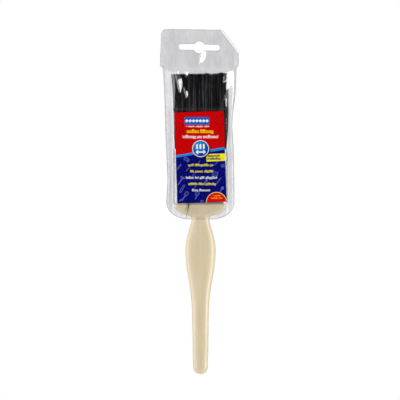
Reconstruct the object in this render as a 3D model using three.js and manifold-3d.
// A flat paint brush in a clear hang sleeve, with a loose label card in front of the ferrule.
// Millimetres, +Z up, front towards -Y. The origin is the middle of the hang slot.
// The brush hangs handle down; it and the card both slide out through the open mouth of the sleeve.
import * as THREE from "three";
import { mergeVertices } from "three/addons/utils/BufferGeometryUtils.js";
import Module from "manifold-3d";

// Clearances
const GAP = 0.3; // air between pieces that touch on the real brush
const HOLE_GAP = 0.3; // round each nail's shank

// Brush: widths are along X, depths along Y
const BRUSH_X = 0.85; // the brush sits this far right of the hang slot
const FERRULE_WIDTH = 38.6;
const FERRULE_DEPTH = 11.5;
const FERRULE_CORNER = 4.2;
const FERRULE_WALL = 0.5;
const FERRULE_TOP = -72.7;
const FERRULE_BOTTOM = -111.7;
const BEAD_HEIGHT = 0.3;
const BEAD_REACH = 1.1; // half the bead's height along Z
const BEADS = [-76.2, -80.4, -108.6];

const BRISTLE_TIP = -17.7;
const ROOT_Z = -90.2;

const RESIN_HEIGHT = 6;
const PLUG_WIDTH = 29;
const PLUG_DEPTH = 2.4;
const PLUG_HEIGHT = 13;

const TENON_LENGTH = 15;
const GRIP_WIDTH = 38;
const GRIP_DEPTH = 11.2;
const SHOULDER_STRAIGHT = 0.6; // straight sides of the shoulder below the ferrule
const SHOULDER_DROP = 8.4; // height of its rounded underside
const NECK_WIDTH = 11.8;
const NECK_DEPTH = 10;
const HANDLE_LENGTH = 122.1; // from the ferrule to the butt
const BUTT_LENGTH = 5.2; // rounded end
const BUTT_END_SHARE = 0.3; // size of the flat at the very end, against the full section
const TENON_OVERLAP = 1.5; // how far the tenon reaches into the shoulder
// How square a section is: 2 is an ellipse, higher has flatter faces
const SHAFT_SQUARENESS = 2.7;
const GRIP_SQUARENESS = 5;
const BRISTLE_SQUARENESS = 5;

const NAIL_X = 9.5;
const NAIL_Z = -102.6;
const NAIL_HEAD_RADIUS = 1.5;
const NAIL_HEAD_HEIGHT = 0.35;
const NAIL_SHANK_RADIUS = 0.65;
const NAIL_LENGTH = 5;
const NAIL_POINT = 1.4;
const NAIL_LIFT = 0.05; // the head's rim stands this far off the ferrule

// Label card
const CARD_WIDTH = 35.2;
const CARD_HEIGHT = 64.6;
const CARD_DEPTH = 0.4;
const CARD_CORNER = 1;
const CARD_Z = -78.7;
const CARD_TILT = THREE.MathUtils.degToRad(-1.9);
const CARD_BACK = FERRULE_DEPTH / 2 + NAIL_HEAD_HEIGHT + GAP;
const CARD_RAMP_LENGTH = 6; // the film takes this height to rise onto the card's top edge
const CARD_TOP = CARD_Z + CARD_HEIGHT / 2 - (Math.sin(CARD_TILT) * CARD_WIDTH) / 2 + GAP;

// Sleeve
const FILM = 0.4;
const WELD = 1.2; // width of the side welds
const HEADER_LEFT = -28; // the header's sides at its foot; the left side leans in towards the top
const HEADER_RIGHT = 28.1;
const HEADER_LEAN = 0.8;
const HEADER_TOP = 12.8;
const HEADER_DROP = 0.5; // the top edge falls this much from left to right
const HEADER_CORNER = 3.6;
const HEADER_FOOT = -13.1; // the header's sides end here and step in to the pouch
const POUCH_TOP = -15.8;
const SEAL_Z = -13.7;
const MOUTH_Z = -122.8;
const MOUTH_CORNER_WIDTH = 15.7;
const MOUTH_CORNER_HEIGHT = 12.3;
const SLOT_LENGTH = 30;
const SLOT_HEIGHT = 4.6;
const SLOT_EYE_RADIUS = 4.4;
const SLOT_TILT = THREE.MathUtils.degToRad(-1.5); // the slot's right end is the lower one
const CHAMFER_START_X = 16.6; // the header's cut corner, on the back sheet
const CHAMFER_END_Z = -2.8;
const CHAMFER_INSET = 1.6; // the front sheet's cut lies this far inside

// Driving stations. Each row is [position, value], and values run smoothly between rows.
// Handle: distance below the ferrule, then width or depth.
const NECK_END = SHOULDER_STRAIGHT + SHOULDER_DROP;
const HANDLE_WIDTHS = [
  [NECK_END, NECK_WIDTH], [11.8, 12.7], [17.5, 15.7], [23.2, 18.9], [28, 20.9], [33, 21.7],
  [40, 21.2], [49, 19], [57, 16.1], [66, 13.5], [76, 12.2], [90, 11.5], [105, 11.2], [116.9, 10.4],
];
const HANDLE_DEPTHS = [
  [NECK_END, NECK_DEPTH], [18, 10.8], [33, 11.6], [50, 11.4], [66, 10.8], [90, 9.9], [116.9, 9.2],
];
// Bristles: height, then half-width or half-depth of the whole head.
const BRISTLE_HALF_WIDTHS = [
  [BRISTLE_TIP, 20.4], [-30, 20.1], [-41, 19.7], [-52, 19.7], [-62, 19.3], [FERRULE_TOP, 18.3],
  [ROOT_Z, 18.3],
];
const BRISTLE_LEANS = [ // sideways
  [BRISTLE_TIP, -0.7], [-30, 0], [-41, 0.2], [-54, 0.5], [-62, 0.4], [FERRULE_TOP, 0], [ROOT_Z, 0],
];
const BRISTLE_HALF_DEPTHS = [
  [BRISTLE_TIP, 3], [-20, 3.5], [-30, 4.3], [-45, 4.9], [-60, 5.1], [FERRULE_TOP, 4.9], [ROOT_Z, 4.9],
];
// Half the space between the two banks of bristles: open round the plug, closed above it.
const BANK_SPLITS = [
  [BRISTLE_TIP, 0.15], [-64, 0.15], [FERRULE_TOP - 4, PLUG_DEPTH / 2 + GAP], [ROOT_Z, PLUG_DEPTH / 2 + GAP],
];
// Sleeve: height, then where the pouch's left and right edges lie.
const LEFT_EDGE = [
  [POUCH_TOP, -25.8], [-24, -25.3], [-38, -24.7], [-59, -24.1], [-80, -23.2], [-98, -22.6], [-106, -23.2],
  [MOUTH_Z, -23.9],
];
const RIGHT_EDGE = [
  [POUCH_TOP, 26.5], [-30, 26], [-45, 24.3], [-56, 23.3], [-67, 24.1], [-84, 24.7], [MOUTH_Z, 25.1],
];
// Half the depth of the space that the brush needs as it slides out, above the ferrule's own depth.
const NAIL_ROOM = CARD_BACK - GAP;
const BRUSH_ROOM = [
  [BRISTLE_TIP, 3], [-30, 4.4], [-45, 5], [-60, 5.4], [FERRULE_TOP, NAIL_ROOM], [MOUTH_Z, NAIL_ROOM],
];
const CARD_RAMP = [[CARD_TOP + CARD_RAMP_LENGTH, 0], [CARD_TOP, 1]];

const wasm = await Module();
wasm.setup();

function toSolid(geometry) {
  const bare = geometry.clone();
  bare.deleteAttribute("normal");
  bare.deleteAttribute("uv");
  const merged = mergeVertices(bare, 1e-4);
  return new wasm.Manifold(
    new wasm.Mesh({
      numProp: 3,
      vertProperties: merged.attributes.position.array,
      triVerts: new Uint32Array(merged.index.array),
    }),
  );
}

function toGeometry(solid) {
  const mesh = solid.getMesh();
  const geometry = new THREE.BufferGeometry();
  geometry.setAttribute("position", new THREE.BufferAttribute(mesh.vertProperties, 3));
  geometry.setIndex(new THREE.BufferAttribute(mesh.triVerts, 1));
  geometry.computeVertexNormals();
  return geometry;
}

// The value of a table of [position, value] rows at t: smooth, with no overshoot, and level past its ends.
function along(table, t) {
  const rows = [...table].sort((a, b) => a[0] - b[0]);
  const last = rows.length - 1;
  if (t <= rows[0][0]) return rows[0][1];
  if (t >= rows[last][0]) return rows[last][1];
  const i = rows.findIndex((row) => row[0] >= t) - 1;
  const chord = (k) => (rows[k + 1][1] - rows[k][1]) / (rows[k + 1][0] - rows[k][0]);
  const slope = (k) => {
    const before = chord(Math.max(k - 1, 0));
    const after = chord(Math.min(k, last - 1));
    return before * after > 0 ? (2 * before * after) / (before + after) : 0;
  };
  const span = rows[i + 1][0] - rows[i][0];
  const u = (t - rows[i][0]) / span;
  const rise = rows[i + 1][1] - rows[i][1];
  const start = slope(i) * span;
  const end = slope(i + 1) * span;
  return rows[i][1] + u * (start + u * (3 * rise - 2 * start - end + u * (start + end - 2 * rise)));
}

// Evenly spaced values from a to b, both included.
function steps(a, b, count) {
  return Array.from({ length: count + 1 }, (_, i) => a + ((b - a) * i) / count);
}

// A ring of points round a rectangle with round corners, centred on the brush's axis.
function roundedRing(halfWidth, halfDepth, corner, z, perCorner = 5) {
  const ring = [];
  for (const [sx, sy, start] of [[1, 1, 0], [-1, 1, 90], [-1, -1, 180], [1, -1, 270]]) {
    for (const degrees of steps(start, start + 90, perCorner)) {
      const angle = THREE.MathUtils.degToRad(degrees);
      const x = sx * (halfWidth - corner) + corner * Math.cos(angle);
      const y = sy * (halfDepth - corner) + corner * Math.sin(angle);
      ring.push(new THREE.Vector3(BRUSH_X + x, y, z));
    }
  }
  return ring;
}

// A ring of points on a superellipse centred on the brush's axis.
function superRing(halfWidth, halfDepth, squareness, z, count = 36) {
  return steps(0, 2 * Math.PI, count).slice(0, count).map((angle) => {
    const c = Math.cos(angle);
    const s = Math.sin(angle);
    const x = Math.sign(c) * Math.abs(c) ** (2 / squareness) * halfWidth;
    const y = Math.sign(s) * Math.abs(s) ** (2 / squareness) * halfDepth;
    return new THREE.Vector3(BRUSH_X + x, y, z);
  });
}

// Skins a stack of equal rings, lowest first. A closed stack also joins its last ring to its first.
function skin(rings, closed = false) {
  const count = rings[0].length;
  const points = rings.flat();
  const index = [];
  const bands = closed ? rings.length : rings.length - 1;
  for (let i = 0; i < bands; i++) {
    const low = i * count;
    const high = ((i + 1) % rings.length) * count;
    for (let j = 0; j < count; j++) {
      const k = (j + 1) % count;
      index.push(low + j, low + k, high + k, low + j, high + k, high + j);
    }
  }
  if (!closed) {
    for (const [ring, turn] of [[0, true], [rings.length - 1, false]]) {
      const middle = rings[ring].reduce((sum, p) => sum.add(p), new THREE.Vector3());
      points.push(middle.divideScalar(count));
      for (let j = 0; j < count; j++) {
        const a = ring * count + j;
        const b = ring * count + ((j + 1) % count);
        index.push(points.length - 1, turn ? b : a, turn ? a : b);
      }
    }
  }
  const geometry = new THREE.BufferGeometry().setFromPoints(points);
  geometry.setIndex(index);
  geometry.computeVertexNormals();
  return geometry;
}

function material(color, roughness, metalness = 0) {
  return new THREE.MeshStandardMaterial({ color, roughness, metalness });
}

const group = new THREE.Group();

function piece(name, geometry, look) {
  const mesh = new THREE.Mesh(geometry, look);
  mesh.name = name;
  group.add(mesh);
  return mesh;
}

// A bore along Y, right through the brush, for a front nail and the back nail behind it.
function nailBore(x) {
  const radius = NAIL_SHANK_RADIUS + HOLE_GAP;
  const bore = new THREE.CylinderGeometry(radius, radius, 2 * FERRULE_DEPTH, 16);
  return toSolid(bore.translate(BRUSH_X + x, 0, NAIL_Z));
}

function handle() {
  const down = (distance) => FERRULE_BOTTOM - distance;
  const rings = [];
  for (const t of steps(0, 1, 5)) {
    // rounded butt, from the very end upwards
    const lift = Math.sin((t * Math.PI) / 2);
    const share = BUTT_END_SHARE + (1 - BUTT_END_SHARE) * lift;
    const rise = BUTT_LENGTH * (1 - Math.cos((t * Math.PI) / 2));
    const s = HANDLE_LENGTH - rise;
    const halfWidth = (along(HANDLE_WIDTHS, s) / 2) * share;
    const halfDepth = (along(HANDLE_DEPTHS, s) / 2) * share;
    rings.push(superRing(halfWidth, halfDepth, SHAFT_SQUARENESS, down(s)));
  }
  for (const s of steps(HANDLE_LENGTH - BUTT_LENGTH, NECK_END, 34).slice(1)) {
    const halfWidth = along(HANDLE_WIDTHS, s) / 2;
    rings.push(superRing(halfWidth, along(HANDLE_DEPTHS, s) / 2, SHAFT_SQUARENESS, down(s)));
  }
  for (const t of steps(0, Math.PI / 2, 7).slice(1)) {
    // underside of the shoulder
    const width = NECK_WIDTH + (GRIP_WIDTH - NECK_WIDTH) * Math.sin(t);
    const depth = NECK_DEPTH + (GRIP_DEPTH - NECK_DEPTH) * Math.sin(t);
    const squareness = THREE.MathUtils.lerp(SHAFT_SQUARENESS, GRIP_SQUARENESS, Math.sin(t));
    const s = SHOULDER_STRAIGHT + SHOULDER_DROP * Math.cos(t);
    rings.push(superRing(width / 2, depth / 2, squareness, down(s)));
  }
  rings.push(superRing(GRIP_WIDTH / 2, GRIP_DEPTH / 2, GRIP_SQUARENESS, down(GAP)));
  const inset = FERRULE_WALL + GAP;
  const tenonRing = (z) =>
    roundedRing(FERRULE_WIDTH / 2 - inset, FERRULE_DEPTH / 2 - inset, FERRULE_CORNER - inset, z);
  const tenon = skin([tenonRing(down(TENON_OVERLAP)), tenonRing(FERRULE_BOTTOM + TENON_LENGTH)]);
  let solid = toSolid(skin(rings)).add(toSolid(tenon));
  for (const x of [-NAIL_X, NAIL_X]) solid = solid.subtract(nailBore(x));
  piece("handle", toGeometry(solid), material(0xd8c8a2, 0.35));
}

function ferrule() {
  const heights = [FERRULE_BOTTOM, FERRULE_TOP];
  for (const bead of BEADS) {
    heights.push(...steps(bead - BEAD_REACH, bead + BEAD_REACH, 4));
  }
  heights.sort((a, b) => a - b);
  const swell = (z) => {
    const near = Math.min(...BEADS.map((bead) => Math.abs(z - bead)));
    return near >= BEAD_REACH ? 0 : (BEAD_HEIGHT * (1 + Math.cos((Math.PI * near) / BEAD_REACH))) / 2;
  };
  const ring = (z, inset) => {
    const out = swell(z) - inset;
    return roundedRing(FERRULE_WIDTH / 2 + out, FERRULE_DEPTH / 2 + out, FERRULE_CORNER + out, z);
  };
  const outside = heights.map((z) => ring(z, 0));
  const inside = [...heights].reverse().map((z) => ring(z, FERRULE_WALL));
  let solid = toSolid(skin([...outside, ...inside], true));
  for (const x of [-NAIL_X, NAIL_X]) solid = solid.subtract(nailBore(x));
  piece("ferrule", toGeometry(solid), material(0xb9bcc0, 0.3, 0.9));
}

// A nail with a low domed head, driven in from the front (side -1) or the back (side 1).
function nail(name, x, side) {
  const dome = steps(0, 1, 4).map((t) => {
    const angle = (t * Math.PI) / 2;
    const height = NAIL_LIFT + NAIL_HEAD_HEIGHT * Math.sin(angle);
    return new THREE.Vector2(NAIL_HEAD_RADIUS * Math.cos(angle), height);
  });
  dome[4].x = 0;
  const profile = [
    new THREE.Vector2(0, -NAIL_LENGTH),
    new THREE.Vector2(NAIL_SHANK_RADIUS, NAIL_POINT - NAIL_LENGTH),
    new THREE.Vector2(NAIL_SHANK_RADIUS, NAIL_LIFT),
    ...dome,
  ];
  const mesh = piece(name, new THREE.LatheGeometry(profile, 16), material(0xc4c6c8, 0.3, 0.9));
  mesh.rotation.x = side < 0 ? Math.PI : 0;
  mesh.position.set(BRUSH_X + x, (side * FERRULE_DEPTH) / 2, NAIL_Z);
}

// One bank of bristles. Its outer side follows the head's outline, and its inner side is flat.
function bristleBank(name, side) {
  const heights = [
    ROOT_Z, -83, FERRULE_TOP - 4, FERRULE_TOP, -68, -64, -58, -50, -40, -30, -24, -20, BRISTLE_TIP,
  ];
  const rings = heights.map((z) => {
    const halfWidth = along(BRISTLE_HALF_WIDTHS, z);
    const depth = along(BRISTLE_HALF_DEPTHS, z) - along(BANK_SPLITS, z);
    const outer = steps(0, Math.PI, 18).map((angle) => {
      const power = 2 / BRISTLE_SQUARENESS;
      const x = Math.sign(Math.cos(angle)) * Math.abs(Math.cos(angle)) ** power * halfWidth;
      const y = Math.abs(Math.sin(angle)) ** power * depth + along(BANK_SPLITS, z);
      return new THREE.Vector3(BRUSH_X + along(BRISTLE_LEANS, z) + x, side * y, z);
    });
    return side > 0 ? outer : outer.reverse();
  });
  piece(name, skin(rings), material(0x1c1c1e, 0.6));
}

function insideOfFerrule() {
  const halfWidth = FERRULE_WIDTH / 2 - FERRULE_WALL - GAP;
  const halfDepth = FERRULE_DEPTH / 2 - FERRULE_WALL - GAP;
  const top = ROOT_Z - GAP;
  const corner = FERRULE_CORNER - FERRULE_WALL - GAP;
  const resin = skin([
    roundedRing(halfWidth, halfDepth, corner, top - RESIN_HEIGHT),
    roundedRing(halfWidth, halfDepth, corner, top),
  ]);
  piece("resin_setting", resin, material(0x4a3a22, 0.4));
  const plug = new THREE.BoxGeometry(PLUG_WIDTH, PLUG_DEPTH, PLUG_HEIGHT);
  plug.translate(BRUSH_X, 0, ROOT_Z + PLUG_HEIGHT / 2);
  piece("spacer_plug", plug, material(0xb89a6a, 0.8));
}

function labelCard() {
  const x = CARD_WIDTH / 2;
  const z = CARD_HEIGHT / 2;
  const r = CARD_CORNER;
  const outline = new THREE.Shape();
  outline.absarc(x - r, z - r, r, 0, Math.PI / 2);
  outline.absarc(r - x, z - r, r, Math.PI / 2, Math.PI);
  outline.absarc(r - x, r - z, r, Math.PI, 1.5 * Math.PI);
  outline.absarc(x - r, r - z, r, 1.5 * Math.PI, 2 * Math.PI);
  const card = new THREE.ExtrudeGeometry(outline, { depth: CARD_DEPTH, bevelEnabled: false, curveSegments: 4 });
  card.rotateX(Math.PI / 2);
  const mesh = piece("label_card", card, material(0x20307a, 0.5));
  mesh.position.set(BRUSH_X, -CARD_BACK, CARD_Z);
  mesh.rotation.y = CARD_TILT;
}

// The sleeve's outline, seen from the front, with its hang slot. inset pulls the cut corner in.
function sleeveOutline(inset) {
  const topRight = HEADER_TOP - HEADER_DROP;
  const slope = new THREE.Vector2(HEADER_RIGHT - CHAMFER_START_X, CHAMFER_END_Z - topRight);
  const shiftX = (inset * slope.length()) / -slope.y;
  const shiftZ = (inset * slope.length()) / slope.x;
  const left = HEADER_LEFT + HEADER_LEAN;
  const outline = new THREE.Shape();
  outline.moveTo(HEADER_LEFT, HEADER_FOOT);
  outline.lineTo(left, HEADER_TOP - HEADER_CORNER);
  outline.absarc(left + HEADER_CORNER, HEADER_TOP - HEADER_CORNER, HEADER_CORNER, Math.PI, Math.PI / 2, true);
  outline.lineTo(CHAMFER_START_X - shiftX, topRight);
  outline.lineTo(HEADER_RIGHT, CHAMFER_END_Z - shiftZ);
  outline.lineTo(HEADER_RIGHT, HEADER_FOOT);
  const cornerZ = MOUTH_Z + MOUTH_CORNER_HEIGHT;
  const right = steps(POUCH_TOP, cornerZ, 14);
  const notchZ = (HEADER_FOOT + POUCH_TOP) / 2;
  outline.quadraticCurveTo(along(RIGHT_EDGE, POUCH_TOP), notchZ, along(RIGHT_EDGE, POUCH_TOP), POUCH_TOP);
  for (const z of right.slice(1)) outline.lineTo(along(RIGHT_EDGE, z), z);
  const cornerAt = (edge, side, from, to) =>
    outline.absellipse(
      along(edge, cornerZ) - side * MOUTH_CORNER_WIDTH, cornerZ,
      MOUTH_CORNER_WIDTH, MOUTH_CORNER_HEIGHT, from, to, true,
    );
  cornerAt(RIGHT_EDGE, 1, 0, -Math.PI / 2);
  cornerAt(LEFT_EDGE, -1, -Math.PI / 2, -Math.PI);
  for (const z of [...right].reverse().slice(1)) outline.lineTo(along(LEFT_EDGE, z), z);
  outline.quadraticCurveTo(along(LEFT_EDGE, POUCH_TOP), notchZ, HEADER_LEFT, HEADER_FOOT);
  outline.holes.push(hangSlot());
  return outline;
}

function hangSlot() {
  const half = SLOT_HEIGHT / 2;
  const end = SLOT_LENGTH / 2 - half;
  const angle = Math.asin(half / SLOT_EYE_RADIUS);
  const slot = new THREE.Path();
  const arc = (x, radius, from, to) =>
    slot.absarc(x * Math.cos(SLOT_TILT), x * Math.sin(SLOT_TILT), radius, from + SLOT_TILT, to + SLOT_TILT);
  arc(end, half, -Math.PI / 2, Math.PI / 2);
  arc(0, SLOT_EYE_RADIUS, angle, Math.PI - angle);
  arc(-end, half, Math.PI / 2, 1.5 * Math.PI);
  arc(0, SLOT_EYE_RADIUS, Math.PI + angle, 2 * Math.PI - angle);
  return slot;
}

// Height over the film's middle plane at x, where the film is pulled tight over the given points.
function tautHeight(points, x) {
  let height = 0;
  for (const [ax, ay] of points) {
    for (const [bx, by] of points) {
      if (ax <= x && x < bx) height = Math.max(height, ay + ((by - ay) * (x - ax)) / (bx - ax));
    }
  }
  return height;
}

// Points that the film is pulled over at height z: the side welds, the brush and the card.
function filmSupports(z, side) {
  const left = along(LEFT_EDGE, z) + WELD;
  const right = along(RIGHT_EDGE, z) - WELD;
  const reaches = [[0, FERRULE_WIDTH / 2]];
  for (const [height, half] of BRISTLE_HALF_WIDTHS) reaches.push([along(BRISTLE_LEANS, height), half + GAP]);
  const brushLeft = BRUSH_X + Math.min(...reaches.map(([lean, half]) => lean - half));
  const brushRight = BRUSH_X + Math.max(...reaches.map(([lean, half]) => lean + half));
  const depth = along(BRUSH_ROOM, z) + GAP;
  const corner = Math.min(depth, FERRULE_CORNER);
  const lift = THREE.MathUtils.clamp((z - SEAL_Z) / (BRISTLE_TIP + GAP - SEAL_Z), 0, 1);
  const points = [[left, 0], [right, 0]];
  for (const degrees of steps(15, 90, 5)) {
    const angle = THREE.MathUtils.degToRad(degrees);
    const inward = corner - corner * Math.cos(angle);
    const y = (depth - corner + corner * Math.sin(angle)) * lift;
    points.push([brushLeft + inward, y], [brushRight - inward, y]);
  }
  if (side < 0) {
    const reach = CARD_WIDTH / 2 + Math.abs(Math.sin(CARD_TILT)) * (CARD_HEIGHT / 2) + 2 * GAP;
    const front = (CARD_BACK + CARD_DEPTH + GAP) * THREE.MathUtils.clamp(along(CARD_RAMP, z), 0, 1);
    points.push([BRUSH_X - reach, front], [BRUSH_X + reach, front]);
  }
  return { left, right, points };
}

// One sheet of film: flat in the header and at the welds, and bulged over what the pouch holds.
function sleeveSheet(name, side, inset) {
  const heights = [
    MOUTH_Z - 2, -117, -108, -98, -88, -78, FERRULE_TOP, -64, -56, -50,
    ...steps(CARD_TOP, CARD_TOP + CARD_RAMP_LENGTH, 3),
    -35, -30, -24, -20, BRISTLE_TIP + GAP, (BRISTLE_TIP + SEAL_Z) / 2, SEAL_Z, HEADER_TOP + 2,
  ];
  const nearLeft = [0, 0.025, 0.06, 0.09, 0.12, 0.16, 0.22, 0.36];
  const shares = [...nearLeft, 0.5, ...nearLeft.map((share) => 1 - share).reverse()];
  const margin = HEADER_RIGHT + 2;
  const rows = heights.map((z) => {
    const { left, right, points } = filmSupports(z, side);
    const inner = shares.map((share) => left + (right - left) * share);
    return [-margin, ...inner, margin].map((x) => {
      const inPouch = x > left && x < right && z < SEAL_Z;
      return new THREE.Vector3(x, side * (inPouch ? tautHeight(points, x) : 0), z);
    });
  });
  // Each ring goes along the inner face and back along the outer face.
  const rings = rows.map((row) => {
    const outer = row.map((p) => new THREE.Vector3(p.x, p.y + side * FILM, p.z));
    const ring = [...row, ...outer.reverse()];
    return side > 0 ? ring : ring.reverse();
  });
  const blank = toSolid(stripSkin(rings));
  const reach = FERRULE_DEPTH; // either side of the middle plane, well past both sheets
  const cutter = new THREE.ExtrudeGeometry(sleeveOutline(inset), {
    depth: 2 * reach, bevelEnabled: false, curveSegments: 8,
  });
  cutter.rotateX(Math.PI / 2).translate(0, reach, 0);
  piece(name, toGeometry(blank.intersect(toSolid(cutter))), material(0xdfe2e6, 0.15));
}

// Skins flat rings that fold back on themselves. Their ends close point against opposite point.
function stripSkin(rings) {
  const count = rings[0].length;
  const index = [];
  for (let i = 0; i < rings.length - 1; i++) {
    for (let j = 0; j < count; j++) {
      const k = (j + 1) % count;
      const low = i * count;
      const high = low + count;
      index.push(low + j, low + k, high + k, low + j, high + k, high + j);
    }
  }
  for (const [start, turn] of [[0, true], [(rings.length - 1) * count, false]]) {
    for (let j = 0; j < count / 2 - 1; j++) {
      const [a, b] = [start + j, start + j + 1];
      const [c, d] = [start + count - 2 - j, start + count - 1 - j];
      index.push(...(turn ? [a, c, b, a, d, c] : [a, b, c, a, c, d]));
    }
  }
  const geometry = new THREE.BufferGeometry().setFromPoints(rings.flat());
  geometry.setIndex(index);
  return geometry;
}

handle();
ferrule();
nail("ferrule_nail_front_left", -NAIL_X, -1);
nail("ferrule_nail_front_right", NAIL_X, -1);
nail("ferrule_nail_back_left", -NAIL_X, 1);
nail("ferrule_nail_back_right", NAIL_X, 1);
insideOfFerrule();
bristleBank("bristle_bank_front", -1);
bristleBank("bristle_bank_back", 1);
labelCard();
sleeveSheet("sleeve_front_sheet", -1, CHAMFER_INSET);
sleeveSheet("sleeve_back_sheet", 1, 0);

export default group;
